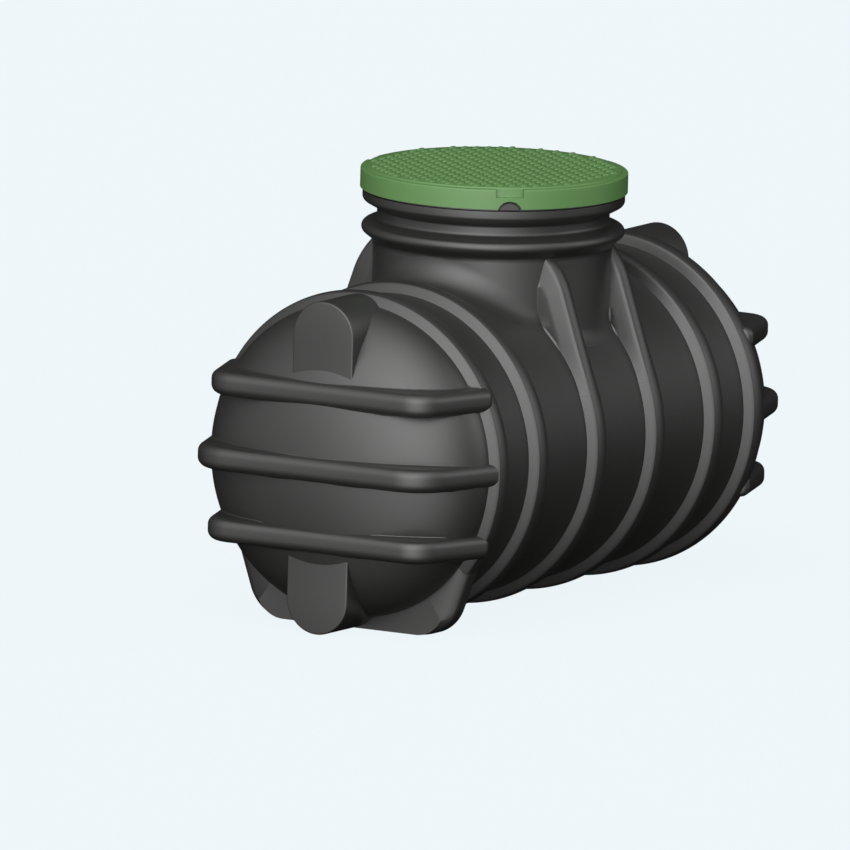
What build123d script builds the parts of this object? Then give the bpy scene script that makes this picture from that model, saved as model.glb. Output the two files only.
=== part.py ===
from build123d import *
import math
import os

# Underground water tank: a moulded horizontal barrel with domed ends, stiffening rings and ribs,
# an upright neck at its middle and a lift-off lid. Millimetres, +Z up, long axis along Y.
# The origin is on the floor, below the middle of the barrel.

# Barrel
floor_clearance = 10.0  # floor to the rings' crests
barrel_radius = 434.0
wall = 8.0
ring_pitch_middle = 308.0  # between the two rings beside the neck
ring_pitch_inner = 307.0
ring_pitch_outer = 209.0
ring_rise = 19.0
ring_foot_width = 78.0
ring_crest_width = 12.0
ring_crest_rounding = 7.0
dome_depth = 225.0

# Stiffening ribs on the domed ends
rib_height = 66.0
rib_top_rounding = 30.0
rib_bottom_rounding = 14.0
rib_spacing = 202.0  # the upper and lower ribs, from the axis
rib_flare = 71.0  # degrees between a rib's front and its side
middle_rib_reach = 23.5  # proud of the dome's apex
middle_rib_inset = 68.0  # from the barrel's side to the sharp corner of the rib's front
middle_rib_corner = 130.0
outer_rib_setback = 12.0  # behind the dome's apex
outer_rib_inset = 90.0
outer_rib_corner = 92.0

# Lugs and foot
lug_half_width = 96.0
lug_top_stand = 5.0  # the top lug's crown over the rings' crests
lug_setback = 48.0  # behind the dome's apex
foot_half_width = 304.0  # at the floor, measured to the sharp corner
foot_corner = 118.0
foot_start_angle = 37.4  # degrees below level, where the foot leaves the ring
foot_front_half = 19.0  # crest of the foot, from the ring's middle towards the end

# Neck
neck_radius = 328.0
neck_blend = 80.0
skirt_margin = 6.0
neck_rise = 517.0  # from the axis
bead_reach = 32.0  # proud of the neck
bead_start = 2.0  # heights over the neck's top edge
bead_lower_corner = 27.0
bead_upper_corner = 46.0
bead_end = 63.0
bead_height = 77.0
bead_rounding = 16.0
groove_depth = 10.0  # behind the neck's face
collar_reach = 31.0  # proud of the neck
collar_start = 13.0  # heights over the bead's top edge
collar_corner = 35.5
collar_step_rise = 63.0
collar_height = 83.0
collar_rounding = 12.0
collar_step = 4.0

# Gussets where the rings beside the neck run up its sides
gusset_shoulder_drop = 88.0  # below the neck's top edge
gusset_top_drop = 9.0
gusset_top_reach = 5.4  # proud of the neck's face
gusset_shoulder_reach = 51.2

# Lid
lid_gap = 7.0  # from the collar's face to the skirt's face
lid_skirt_wall = 4.5
lid_skirt_gap = 5.0  # from the collar's step to the skirt's lower edge
lid_rise = 50.0  # over the collar
lid_crown_rise = 10.0
lid_rim_width = 16.0
lid_plate = 12.0
lid_rim_wall = 12.0
lid_edge_rounding = 9.0
seat_gap = 0.3
seat_width = 12.0
seat_inset = 5.0
pocket_count = 3
pocket_first_angle = -52.0
pocket_half_angle = 6.0
pocket_depth = 14.0
pocket_drop = 23.0
pocket_wall = 4.0
cutout_half_width = 33.0
cutout_height = 23.0
tab_gap = 5.0
tab_setback = 3.0  # behind the skirt's face
tab_root = 2.0

# Allowances that leave no trace in the shapes
nearby = 1.0  # for picking edges and corners
overrun = 1.0  # how far a cutter runs past what it cuts

# Worked out from the sizes above
wall_radius = barrel_radius - wall
crest_radius = barrel_radius + ring_rise
axis_height = crest_radius + floor_clearance
middle_rib_half_width = barrel_radius - middle_rib_inset
outer_rib_half_width = barrel_radius - outer_rib_inset
neck_top = axis_height + neck_rise
bead_top = neck_top + bead_height
bead_radius = neck_radius + bead_reach
groove_radius = neck_radius - groove_depth
collar_radius = neck_radius + collar_reach
seat_radius = collar_radius - collar_step
collar_step_height = bead_top + collar_step_rise
collar_top = bead_top + collar_height
neck_half_width = math.sqrt(neck_radius**2 - (ring_pitch_middle / 2) ** 2)  # at the rings beside it
gusset_top_half_width = neck_half_width + gusset_top_reach
gusset_top_rise = neck_rise - gusset_top_drop
gusset_shoulder = (neck_half_width + gusset_shoulder_reach, neck_rise - gusset_shoulder_drop)
gusset_lean = math.atan2(gusset_shoulder[1], gusset_shoulder[0]) - math.acos(
    crest_radius / math.hypot(*gusset_shoulder)
)  # from upright, so that the gusset's edge runs off the ring's crest without a bend
lid_radius = collar_radius + lid_gap
lid_skirt_bottom = collar_step_height + lid_skirt_gap
lid_top = collar_top + lid_rise
lid_rim_top = lid_top - lid_crown_rise
lid_crown_radius = lid_radius - lid_rim_width
ring_half = ring_foot_width / 2
crest_half = ring_crest_width / 2
ring_places = [
    -ring_pitch_middle / 2 - ring_pitch_inner - ring_pitch_outer,
    -ring_pitch_middle / 2 - ring_pitch_inner,
    -ring_pitch_middle / 2,
    ring_pitch_middle / 2,
    ring_pitch_middle / 2 + ring_pitch_inner,
    ring_pitch_middle / 2 + ring_pitch_inner + ring_pitch_outer,
]
end_ring_place = ring_places[-1]
dome_start = end_ring_place + ring_half
dome_apex = dome_start + dome_depth
skirt_radius = neck_radius + neck_blend + skirt_margin
far = 2 * dome_apex
barrel_line = Axis((0, 0, axis_height), (0, 1, 0))


def barrel_plane(along=0.0):
    """Upright cross plane at a place along the barrel: local x is X, local y is height over the axis."""
    return Plane(origin=(0, along, axis_height), x_dir=(1, 0, 0), z_dir=(0, -1, 0))


def turned_on_barrel(profile):
    """Solid of a profile drawn as (place along, radius), turned round the barrel's axis."""
    plane = Plane(origin=(0, 0, axis_height), x_dir=(0, 1, 0), z_dir=(1, 0, 0))
    return revolve(plane * make_face(profile), barrel_line, 360)


def turned_on_neck(profile):
    """Solid of a profile drawn as (radius, height), turned round the neck's axis."""
    return revolve(Plane.XZ * make_face(profile), Axis.Z, 360)


def barrel_rod(radius, start, end):
    """Solid rod along the barrel's axis."""
    return extrude(barrel_plane(start) * Circle(radius), amount=start - end)


def upright_rod(radius, bottom, top):
    """Solid rod along the neck's axis."""
    return extrude(Plane.XY.offset(bottom) * Circle(radius), amount=top - bottom)


def slab(start, end):
    """Everything between two places along the barrel."""
    middle = (start + end) / 2
    return Pos(0, middle, axis_height) * Box(far, end - start, far)


def ring_profile(place, inner):
    """Outline of a ring's ridge down to the inner radius, with its crest rounded."""
    ridge = Polyline(
        (place - ring_half, inner),
        (place - ring_half, barrel_radius),
        (place - crest_half, crest_radius),
        (place + crest_half, crest_radius),
        (place + ring_half, barrel_radius),
        (place + ring_half, inner),
        close=True,
    )
    return ridge


def ring_block(place):
    """Solid ridge from the axis out, used to cut what sits on a ring."""
    face = make_face(ring_profile(place, 0))
    crest = face.vertices().filter_by(lambda v: v.Y > crest_radius - nearby)
    plane = Plane(origin=(0, 0, axis_height), x_dir=(0, 1, 0), z_dir=(1, 0, 0))
    return revolve(plane * fillet(crest, ring_crest_rounding), barrel_line, 360)


def ring_hollow(place):
    """Space inside a ring: the ridge moved in by the wall."""
    profile = Polyline(
        (place - ring_half, 0),
        (place - ring_half, wall_radius),
        (place - crest_half, crest_radius - wall),
        (place + crest_half, crest_radius - wall),
        (place + ring_half, wall_radius),
        (place + ring_half, 0),
        close=True,
    )
    return turned_on_barrel(profile)


def above_gusset_seats():
    """Everything above the sloping planes on which the gussets stand."""
    reach_x = far * math.cos(gusset_lean)
    reach_z = far * math.sin(gusset_lean)
    outline = Polyline(
        (0, 0), (reach_x, reach_z), (reach_x, far), (-reach_x, far), (-reach_x, reach_z), close=True
    )
    return extrude(barrel_plane() * make_face(outline), amount=far / 2, both=True)


def ring(place):
    """One hollow stiffening ring; those beside the neck stop where the gussets start."""
    shell = ring_block(place) - ring_hollow(place)
    if abs(place) < neck_radius:
        shell = shell - above_gusset_seats()
    return shell


def dome_block(inset=0.0):
    """Solid rear domed end, moved in by an inset."""
    depth = dome_depth - inset
    radius = barrel_radius - inset
    curve = EllipticalCenterArc((dome_start, 0), depth, radius, start_angle=0, arc_size=90)
    ends = Polyline((dome_start, radius), (dome_start, 0), (dome_start + depth, 0))
    return turned_on_barrel([curve, ends])


def rib_bar(level, reach, half_width, corner, inset):
    """Rounded bar across the rear end, moved in by an inset; it starts at the end ring's crest."""
    front = dome_apex + reach
    lean = math.radians(rib_flare)
    side_shift = inset * math.tan(lean / 2)
    corner_x = half_width - side_shift
    back_x = corner_x + (front - inset - end_ring_place) / math.tan(lean)
    outline = Polyline(
        (-back_x, end_ring_place),
        (-corner_x, front - inset),
        (corner_x, front - inset),
        (back_x, end_ring_place),
        close=True,
    )
    face = make_face(outline)
    corners = face.vertices().filter_by(lambda v: v.Y > front - inset - nearby)
    face = fillet(corners, corner - inset)
    half = rib_height / 2 - inset
    middle = axis_height + level
    bar = extrude(Plane.XY.offset(middle - half) * face, amount=2 * half)
    for side, rounding in ((1, rib_top_rounding), (-1, rib_bottom_rounding)):
        edges = bar.edges().filter_by(
            lambda e: side * (e.center().Z - middle) > half - nearby
            and e.center().Y > end_ring_place + nearby
        )
        bar = fillet(edges, rounding - inset)
    return bar


def rib(level, reach, half_width, corner):
    """Hollow half-round rib across the rear end, from one side of the end ring to the other."""
    return rib_bar(level, reach, half_width, corner, 0) - rib_bar(level, reach, half_width, corner, wall)


def lug(crown, level_sign):
    """Flat-faced lug with a round crown, top or bottom, from the rear ring to the dome."""
    centre = level_sign * (crown - lug_half_width)
    end = dome_apex - lug_setback
    arch = Pos(0, centre) * Circle(lug_half_width)
    stem = Pos(0, centre / 2) * Rectangle(2 * lug_half_width, abs(centre))
    return extrude(barrel_plane(end_ring_place) * (arch + stem), amount=end_ring_place - end)


def foot_half_face(place, inset, hand):
    """Half saddle face of the foot, moved in by an inset but for its level base."""
    radius = crest_radius - inset
    start = math.radians(foot_start_angle)
    leave = (hand * radius * math.cos(start), -radius * math.sin(start))
    corner = (hand * (foot_half_width - inset), -axis_height)
    face = make_face(Polyline((0, 0), leave, corner, (0, -axis_height), close=True))
    toe = face.vertices().filter_by(lambda v: v.Y < nearby - axis_height and abs(v.X) > nearby)
    return barrel_plane(place) * fillet(toe, foot_corner - inset)


def foot(place):
    """Flat-bottomed saddle foot under the front end ring, with sloping faces like the ring's."""
    stations = [
        (place - ring_half, ring_rise),
        (place - foot_front_half, 0),
        (place + crest_half, 0),
        (place + ring_half, ring_rise),
    ]
    slices = []
    for hand in (1, -1):
        for first, second in zip(stations, stations[1:]):
            slices.append(loft([foot_half_face(*first, hand), foot_half_face(*second, hand)], ruled=True))
    whole = slices[0]
    for piece in slices[1:]:
        whole = whole + piece
    return whole


def gusset_face(place, inset, hand):
    """Face of a gusset at a place along the barrel: tangent to the ring, leaning in to the neck."""
    lean = gusset_lean
    radius = crest_radius - inset
    foot_point = (radius * math.cos(lean), radius * math.sin(lean))
    chord_x = gusset_shoulder[0] - gusset_top_half_width
    chord_z = gusset_top_rise - gusset_shoulder[1]
    chord = math.hypot(chord_x, chord_z)
    half_turn = math.atan2(chord_x, chord_z) - lean
    round_radius = chord / 2 / math.sin(half_turn)
    centre_x = gusset_shoulder[0] - round_radius * math.cos(lean)
    centre_z = gusset_shoulder[1] - round_radius * math.sin(lean)
    bend = round_radius - inset

    def on_bend(turn):
        return (centre_x + bend * math.cos(turn), centre_z + bend * math.sin(turn))

    start, middle, end = on_bend(lean), on_bend(lean + half_turn), on_bend(lean + 2 * half_turn)
    heading = lean + 2 * half_turn
    run_in = end[0] / 2 / math.sin(heading)
    inside = (end[0] - run_in * math.sin(heading), end[1] + run_in * math.cos(heading))

    def flip(point):
        return (hand * point[0], point[1])

    edges = [
        Line(flip((0, 0)), flip(foot_point)),
        Line(flip(foot_point), flip(start)),
        ThreePointArc(flip(start), flip(middle), flip(end)),
        Line(flip(end), flip(inside)),
        Line(flip(inside), flip((0, inside[1]))),
        Line(flip((0, inside[1])), flip((0, 0))),
    ]
    return barrel_plane(place) * make_face(edges)


def gusset(place, hand):
    """Gusset that carries a ring's ridge up the side of the neck."""
    block = loft(
        [gusset_face(place - crest_half, 0, hand), gusset_face(place + crest_half, 0, hand)], ruled=True
    )
    for toward in (1, -1):
        flank = loft(
            [
                gusset_face(place + toward * crest_half, 0, hand),
                gusset_face(place + toward * ring_half, ring_rise, hand),
            ],
            ruled=True,
        )
        block = block + flank
    block = block - barrel_rod(wall_radius, -far / 2, far / 2)
    return block - upright_rod(neck_radius, 0, far) - upright_rod(far, neck_top, far)


def skin():
    """Moulded skin of barrel and neck, with the large blend between them."""
    outside = barrel_rod(barrel_radius, -dome_start, dome_start)
    outside = outside + upright_rod(neck_radius, axis_height, neck_top)
    inside = barrel_rod(wall_radius, -dome_start, dome_start)
    inside = inside + upright_rod(neck_radius - wall, axis_height, neck_top)
    outside = fillet(joint_edges(outside, neck_radius), neck_blend)
    inside = fillet(joint_edges(inside, neck_radius - wall), neck_blend + wall)
    return outside - inside


def joint_edges(body, radius):
    """Edges where the neck's rod meets the barrel's rod."""
    return body.edges().filter_by(
        lambda e: e.geom_type != GeomType.LINE
        and e.center().Z > axis_height
        and e.center().Z < neck_top - nearby
        and math.hypot((e @ 0).X, (e @ 0).Y) < radius + nearby
    )


def bay(moulding, start, end):
    """Plain stretch of the barrel between two rings."""
    return moulding & slab(start, end) - upright_rod(skirt_radius, axis_height, far)


def neck(moulding):
    """Neck with its blend; beside the gussets only its tube runs down to the barrel."""
    upper = moulding & upright_rod(skirt_radius, axis_height, neck_top)
    for side in (-1, 1):
        place = side * ring_pitch_middle / 2
        beside = slab(place - ring_half, place + ring_half)
        upper = upper - (beside - upright_rod(neck_radius, 0, far))
    return upper


def corner_shift(run, rise, inset):
    """Shift in height of the corner between an upright line and a sloping one, both moved in by an inset."""
    return inset * math.tan(math.atan2(run, rise) / 2)


def rod_with_profile(points, rounded_radius, rounding):
    """Rod turned from a right-hand outline of (radius, height), with the corners at one radius rounded."""
    base, top = points[0][1], points[-1][1]
    face = make_face(Polyline((0, base), *points, (0, top), close=True))
    corners = face.vertices().filter_by(
        lambda v: v.X > rounded_radius - overrun / 2 and base + nearby < v.Y < top - nearby
    )
    return revolve(Plane.XZ * fillet(corners, rounding), Axis.Z, 360)


def bead_rod(inset):
    """Solid of the bead and the groove over it, moved in by an inset."""
    lower = corner_shift(bead_reach, bead_lower_corner - bead_start, inset)
    upper = corner_shift(bead_reach + groove_depth, bead_end - bead_upper_corner, inset)
    outline = [
        (neck_radius - inset, neck_top),
        (neck_radius - inset, neck_top + bead_start + lower),
        (bead_radius - inset, neck_top + bead_lower_corner + lower),
        (bead_radius - inset, neck_top + bead_upper_corner - upper),
        (groove_radius - inset, neck_top + bead_end - upper),
        (groove_radius - inset, bead_top),
    ]
    return rod_with_profile(outline, bead_radius - inset, bead_rounding - inset)


def neck_bead():
    """Hollow bead round the neck, a cone either side of its rounded crest, up to the groove's middle."""
    return bead_rod(0) - bead_rod(wall)


def cutout_circle(gap):
    """Radius and height of the round opening in the lid's skirt, or of the tab inside it."""
    radius = (cutout_half_width**2 + cutout_height**2) / 2 / cutout_height
    return radius - gap, lid_skirt_bottom + cutout_height - radius


def pocket_angles():
    """Directions of the lid's pockets."""
    return [pocket_first_angle + turn * 360 / pocket_count for turn in range(pocket_count)]


def round_key(gap, inner, outer):
    """Round bar pointing outwards at each pocket, from one radius to another."""
    radius, height = cutout_circle(gap)
    return [
        Rot(0, 0, angle) * Pos(inner, 0, height) * Rot(0, 90, 0)
        * Cylinder(radius, outer - inner, align=(Align.CENTER, Align.CENTER, Align.MIN))
        for angle in pocket_angles()
    ]


def neck_collar():
    """Collar above the groove that carries the lid, with a tab at each of the lid's cut-outs."""
    step_foot = collar_step_height - collar_step / 2
    outside = rod_with_profile(
        [
            (groove_radius, bead_top),
            (groove_radius, bead_top + collar_start),
            (collar_radius, bead_top + collar_corner),
            (collar_radius, step_foot),
        ],
        collar_radius, collar_rounding,
    )
    outside = outside + turned_on_neck(
        Polyline(
            (0, step_foot), (collar_radius, step_foot), (seat_radius, collar_step_height),
            (seat_radius, collar_top), (0, collar_top), close=True,
        )
    )
    rise = corner_shift(collar_reach + groove_depth, collar_corner - collar_start, wall)
    bore = seat_radius - wall
    slope = (collar_corner - collar_start) / (collar_reach + groove_depth)
    inside = turned_on_neck(
        Polyline(
            (0, bead_top),
            (groove_radius - wall, bead_top),
            (groove_radius - wall, bead_top + collar_start + rise),
            (bore, bead_top + collar_start + rise + (bore - groove_radius + wall) * slope),
            (bore, collar_top),
            (0, collar_top),
            close=True,
        )
    )
    collar = outside - inside
    above = Pos(0, 0, lid_skirt_bottom) * Box(far, far, far, align=(Align.CENTER, Align.CENTER, Align.MIN))
    for key in round_key(tab_gap, seat_radius - tab_root, lid_radius - tab_setback):
        collar = collar + (key & above)
    return collar


def lid():
    """Lift-off lid: crowned plate, skirt outside the collar and a seat ring on top of it."""
    seat_outer = seat_radius - seat_inset
    plate_under = lid_top - lid_plate
    rim_under = lid_rim_top - lid_rim_wall
    skirt_inner = lid_radius - lid_skirt_wall
    face = make_face(
        Polyline(
            (0, plate_under),
            (seat_outer - seat_width, plate_under),
            (seat_outer - seat_width, collar_top + seat_gap),
            (seat_outer, collar_top + seat_gap),
            (seat_outer, rim_under),
            (skirt_inner, rim_under),
            (skirt_inner, lid_skirt_bottom),
            (lid_radius, lid_skirt_bottom),
            (lid_radius, lid_rim_top),
            (lid_crown_radius, lid_top),
            (0, lid_top),
            close=True,
        )
    )
    corner = face.vertices().filter_by(lambda v: v.X > lid_radius - nearby and v.Y > lid_rim_top - nearby)
    body = revolve(Plane.XZ * fillet(corner, lid_edge_rounding), Axis.Z, 360)
    for angle in pocket_angles():
        body = body + Rot(0, 0, angle) * pocket_block(
            pocket_half_angle + math.degrees(pocket_wall / lid_radius),
            seat_outer - overrun, skirt_inner + overrun,
            lid_rim_top - pocket_drop - pocket_wall, rim_under + overrun,
        )
    for angle in pocket_angles():
        body = body - Rot(0, 0, angle) * pocket_block(
            pocket_half_angle, lid_radius - pocket_depth, lid_radius + pocket_depth,
            lid_rim_top - pocket_drop, lid_top + overrun,
        )
    for key in round_key(0, seat_outer + overrun, lid_radius + overrun):
        body = body - key
    return body


def pocket_block(half_angle, inner, outer, bottom, top):
    """Block between two radii and two heights, in a sector centred on +X."""
    turn = math.radians(half_angle)

    def at(radius, side):
        return (radius * math.cos(turn), side * radius * math.sin(turn))

    face = make_face(
        [
            ThreePointArc(at(inner, -1), (inner, 0), at(inner, 1)),
            Line(at(inner, 1), at(outer, 1)),
            ThreePointArc(at(outer, 1), (outer, 0), at(outer, -1)),
            Line(at(outer, -1), at(inner, -1)),
        ]
    )
    return extrude(Plane.XY.offset(bottom) * face, amount=top - bottom)


def rear_end():
    """Rear dome with its ribs and lugs; the front end is its mirror image."""
    dome = dome_block()
    carrier = dome + ring_block(end_ring_place)
    outer_rib = (-outer_rib_setback, outer_rib_half_width, outer_rib_corner)
    middle_rib = (middle_rib_reach, middle_rib_half_width, middle_rib_corner)
    return {
        "dome": dome - dome_block(wall),
        "upper_rib": rib(rib_spacing, *outer_rib) - carrier,
        "middle_rib": rib(0, *middle_rib) - carrier,
        "lower_rib": rib(-rib_spacing, *outer_rib) - carrier,
        "top_lug": lug(crest_radius + lug_top_stand, 1) - carrier,
        "bottom_lug": lug(axis_height, -1) - carrier,
    }


def tank():
    """Every sub-part by name."""
    parts = {}
    moulding = skin()
    for number, place in enumerate(ring_places, 1):
        parts[f"ring_{number}"] = ring(place)
    for number, (left, right) in enumerate(zip(ring_places, ring_places[1:]), 1):
        parts[f"bay_{number}"] = bay(moulding, left + ring_half, right - ring_half)
    for name, piece in rear_end().items():
        parts[f"rear_{name}"] = piece
        parts[f"front_{name}"] = mirror(piece, about=Plane.XZ)
    parts["front_foot"] = foot(-end_ring_place) - ring_block(-end_ring_place) - parts["front_bottom_lug"]
    for side_name, hand in (("right", 1), ("left", -1)):
        for end_name, place in (("front", ring_places[2]), ("rear", ring_places[3])):
            parts[f"{end_name}_{side_name}_gusset"] = gusset(place, hand)
    parts["neck"] = neck(moulding)
    parts["neck_bead"] = neck_bead()
    parts["neck_collar"] = neck_collar()
    parts["lid"] = lid()
    return parts


os.makedirs("parts", exist_ok=True)
for node, shape in tank().items():
    export_step(shape, f"parts/{node}.step")
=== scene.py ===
import math

import bmesh
import bpy
import numpy as np
from mathutils import Matrix, Vector


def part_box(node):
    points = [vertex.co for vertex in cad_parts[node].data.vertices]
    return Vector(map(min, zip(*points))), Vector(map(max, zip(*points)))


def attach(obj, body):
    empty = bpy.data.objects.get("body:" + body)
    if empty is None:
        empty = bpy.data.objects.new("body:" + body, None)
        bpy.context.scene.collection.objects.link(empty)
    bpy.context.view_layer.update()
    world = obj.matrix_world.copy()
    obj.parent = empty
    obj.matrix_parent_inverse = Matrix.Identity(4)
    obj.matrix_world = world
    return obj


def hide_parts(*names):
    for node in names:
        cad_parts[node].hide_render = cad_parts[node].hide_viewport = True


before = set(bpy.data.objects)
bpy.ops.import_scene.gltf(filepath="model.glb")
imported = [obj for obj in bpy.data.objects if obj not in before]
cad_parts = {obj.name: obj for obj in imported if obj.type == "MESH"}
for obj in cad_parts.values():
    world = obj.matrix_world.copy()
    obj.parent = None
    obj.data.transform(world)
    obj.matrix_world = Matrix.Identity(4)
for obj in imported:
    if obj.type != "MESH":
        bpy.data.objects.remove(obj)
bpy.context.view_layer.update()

mm = 0.001
print("frame loaded")


# sizes read from the frame
def boxOf(node):
    low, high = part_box(node)
    return np.array(low), np.array(high)


def middleOf(node):
    low, high = boxOf(node)
    return (low + high) / 2


ringNames = ["ring_%d" % n for n in range(1, 7)]
bayLow, bayHigh = boxOf("bay_1")
ringLow, ringHigh = boxOf("ring_1")
domeLow, domeHigh = boxOf("rear_dome")
neckHigh = boxOf("neck")[1]
beadLow, beadHigh = boxOf("neck_bead")
collarLow, collarHigh = boxOf("neck_collar")
lidLow, lidHigh = boxOf("lid")
tank = dict(
    axis=middleOf("bay_1")[2],
    radius=(bayHigh[0] - bayLow[0]) / 2,
    crest=middleOf("bay_1")[2],  # the rings reach the floor; the solids' rings end 10 mm above it
    ringHalf=(ringHigh[1] - ringLow[1]) / 2,
    ringPlaces=[middleOf(name)[1] for name in ringNames],
    domeStart=domeLow[1],
    domeDepth=domeHigh[1] - domeLow[1],
    wall=8 * mm,
    crestHalf=24 * mm,
    crestSoftness=3 * mm,
    crownRound=80 * mm,
    flankSlope=1.75,
    gussetLean=19.2,  # degrees; tangent from the crest to the gusset's shoulder
    neckRadius=328 * mm,
    grooveRadius=318 * mm,
)
lid = dict(
    crownRadius=350 * mm,
    crownTop=1184.5 * mm,
    seatDrop=50 * mm,  # from the lid's top down to the collar's edge, on which it sits
    cutAngles=(-52, 68, 188),
    cutHalf=33 * mm,
    cutHeight=23 * mm,
)
lid["cutRadius"] = (lid["cutHalf"] ** 2 + lid["cutHeight"] ** 2) / 2 / lid["cutHeight"]
tank["rise"] = tank["crest"] - tank["radius"]
endRing = tank["ringPlaces"][-1]


# mesh object of vertices and quads: doubles merged, normals outwards, smooth but for sharp angles
def putMesh(name, vertices, faces, material, sharpAngle=30):
    mesh = bpy.data.meshes.new(name)
    mesh.from_pydata(np.asarray(vertices).tolist(), [], [tuple(f) for f in faces])
    work = bmesh.new()
    work.from_mesh(mesh)
    bmesh.ops.remove_doubles(work, verts=work.verts, dist=0.02 * mm)
    bmesh.ops.dissolve_degenerate(work, dist=0.01 * mm, edges=work.edges)
    bmesh.ops.recalc_face_normals(work, faces=work.faces)
    work.to_mesh(mesh)
    work.free()
    mesh.shade_smooth()
    mesh.set_sharp_from_angle(angle=math.radians(sharpAngle))
    mesh.materials.append(material)
    piece = bpy.data.objects.new(name, mesh)
    bpy.context.collection.objects.link(piece)
    return piece


# quads between neighbours of a rows by columns grid; a closed direction joins its last line to its first
def gridFaces(rows, columns, closeRows=False, closeColumns=False, start=0):
    i = np.arange(rows if closeRows else rows - 1)
    j = np.arange(columns if closeColumns else columns - 1)
    i, j = np.meshgrid(i, j, indexing="ij")
    nextI, nextJ = (i + 1) % rows, (j + 1) % columns
    here, ahead = i * columns, nextI * columns
    quads = np.stack([here + j, ahead + j, ahead + nextJ, here + nextJ], axis=-1)
    return (quads.reshape(-1, 4) + start).tolist()


# points of a profile (radius, height) turned about the upright neck axis: x = r cos t, y = r sin t
def turnAboutNeck(profile, steps):
    turn = np.linspace(0, 2 * math.pi, steps, endpoint=False)[:, None]
    radius, height = profile[:, 0][None, :], profile[:, 1][None, :]
    return np.stack([radius * np.cos(turn), radius * np.sin(turn), height + 0 * turn], axis=-1)


# points on an arc: centre plus radius times (cos, sin) of evenly spaced angles, in degrees
def arcPoints(centre, radius, startAngle, endAngle, count):
    turn = np.radians(np.linspace(startAngle, endAngle, count))
    return np.stack([centre[0] + radius * np.cos(turn), centre[1] + radius * np.sin(turn)], axis=-1)


# polyline with rounded corners: each inner corner becomes an arc of its own radius, touching both legs
def roundedPath(corners, radii, steps=8):
    corners = np.array(corners, dtype=float)
    path = [corners[0]]
    for before, corner, after, radius in zip(corners, corners[1:], corners[2:], radii):
        back, ahead = before - corner, after - corner
        back, ahead = back / np.hypot(*back), ahead / np.hypot(*ahead)
        opening = math.acos(float(np.clip(back @ ahead, -1, 1)))
        middle = (back + ahead) / np.hypot(*(back + ahead))
        centre = corner + middle * radius / math.sin(opening / 2)
        sweep = (math.pi - opening) / 2
        for turn in np.linspace(-sweep, sweep, steps):
            side = ahead - (ahead @ middle) * middle
            side = side / np.hypot(*side)
            path.append(centre + radius * (side * math.sin(turn) - middle * math.cos(turn)))
    path.append(corners[-1])
    return np.array(path)


# height of a ring over the barrel: a steep flank and an arched crown, blended by a soft minimum
def ridge(offset):
    flank = (tank["ringHalf"] - np.abs(offset)) * tank["flankSlope"]
    crown = tank["rise"] - offset**2 / 2 / tank["crownRound"]
    height = (flank + crown - np.sqrt((flank - crown) ** 2 + tank["crestSoftness"] ** 2)) / 2
    return np.maximum(height, 0)


# outer radius of barrel, end ring and dome at a distance from the middle: ridge, or half ellipse
def skinRadius(along):
    along = np.abs(along)
    t = np.clip((along - tank["domeStart"]) / tank["domeDepth"], 0, 1)
    dome = tank["radius"] * np.sqrt(1 - t**2)
    onRing = tank["radius"] + ridge(along - endRing) * (np.abs(along - endRing) <= tank["ringHalf"])
    return np.where(along > tank["domeStart"], dome, onRing)


# materials
def newMaterial(name):
    material = bpy.data.materials.new(name)
    material.use_nodes = True
    tree = material.node_tree
    return material, tree, tree.nodes["Principled BSDF"]


def link(tree, source, output, target, socket):
    tree.links.new(source.outputs[output], target.inputs[socket])


# moulded plastic: two tones mixed by slow noise, fine grain in roughness and bump
def mouldedPlastic(name, look):
    material, tree, shader = newMaterial(name)
    place = tree.nodes.new("ShaderNodeTexCoord")
    cloud = tree.nodes.new("ShaderNodeTexNoise")
    cloud.inputs["Scale"].default_value = look["cloudScale"]
    cloud.inputs["Detail"].default_value = 4
    grain = tree.nodes.new("ShaderNodeTexNoise")
    grain.inputs["Scale"].default_value = look["grainScale"]
    grain.inputs["Detail"].default_value = 3
    tone = tree.nodes.new("ShaderNodeMix")
    tone.data_type = "RGBA"
    tone.inputs[6].default_value = (*look["dark"], 1)
    tone.inputs[7].default_value = (*look["light"], 1)
    gloss = tree.nodes.new("ShaderNodeMapRange")
    gloss.inputs["To Min"].default_value = look["roughness"][0]
    gloss.inputs["To Max"].default_value = look["roughness"][1]
    bump = tree.nodes.new("ShaderNodeBump")
    bump.inputs["Strength"].default_value = look["bump"]
    bump.inputs["Distance"].default_value = look["bumpHeight"]
    link(tree, place, "Object", cloud, "Vector")
    link(tree, place, "Object", grain, "Vector")
    link(tree, cloud, "Fac", tone, "Factor")
    link(tree, tone, 2, shader, "Base Color")
    link(tree, grain, "Fac", gloss, "Value")
    link(tree, gloss, "Result", shader, "Roughness")
    link(tree, grain, "Fac", bump, "Height")
    link(tree, bump, "Normal", shader, "Normal")
    shader.inputs["Specular IOR Level"].default_value = look["specular"]
    return material


blackPlastic = mouldedPlastic("blackPlastic", dict(
    dark=(0.019, 0.018, 0.0175), light=(0.024, 0.023, 0.022), cloudScale=3.0, grainScale=260.0,
    roughness=(0.34, 0.42), bump=0.1, bumpHeight=0.3 * mm, specular=1.0,
))
greenPlastic = mouldedPlastic("greenPlastic", dict(
    dark=(0.092, 0.215, 0.06), light=(0.108, 0.248, 0.072), cloudScale=4.0, grainScale=300.0,
    roughness=(0.4, 0.5), bump=0.1, bumpHeight=0.3 * mm, specular=0.7,
))
print("materials made")


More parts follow.
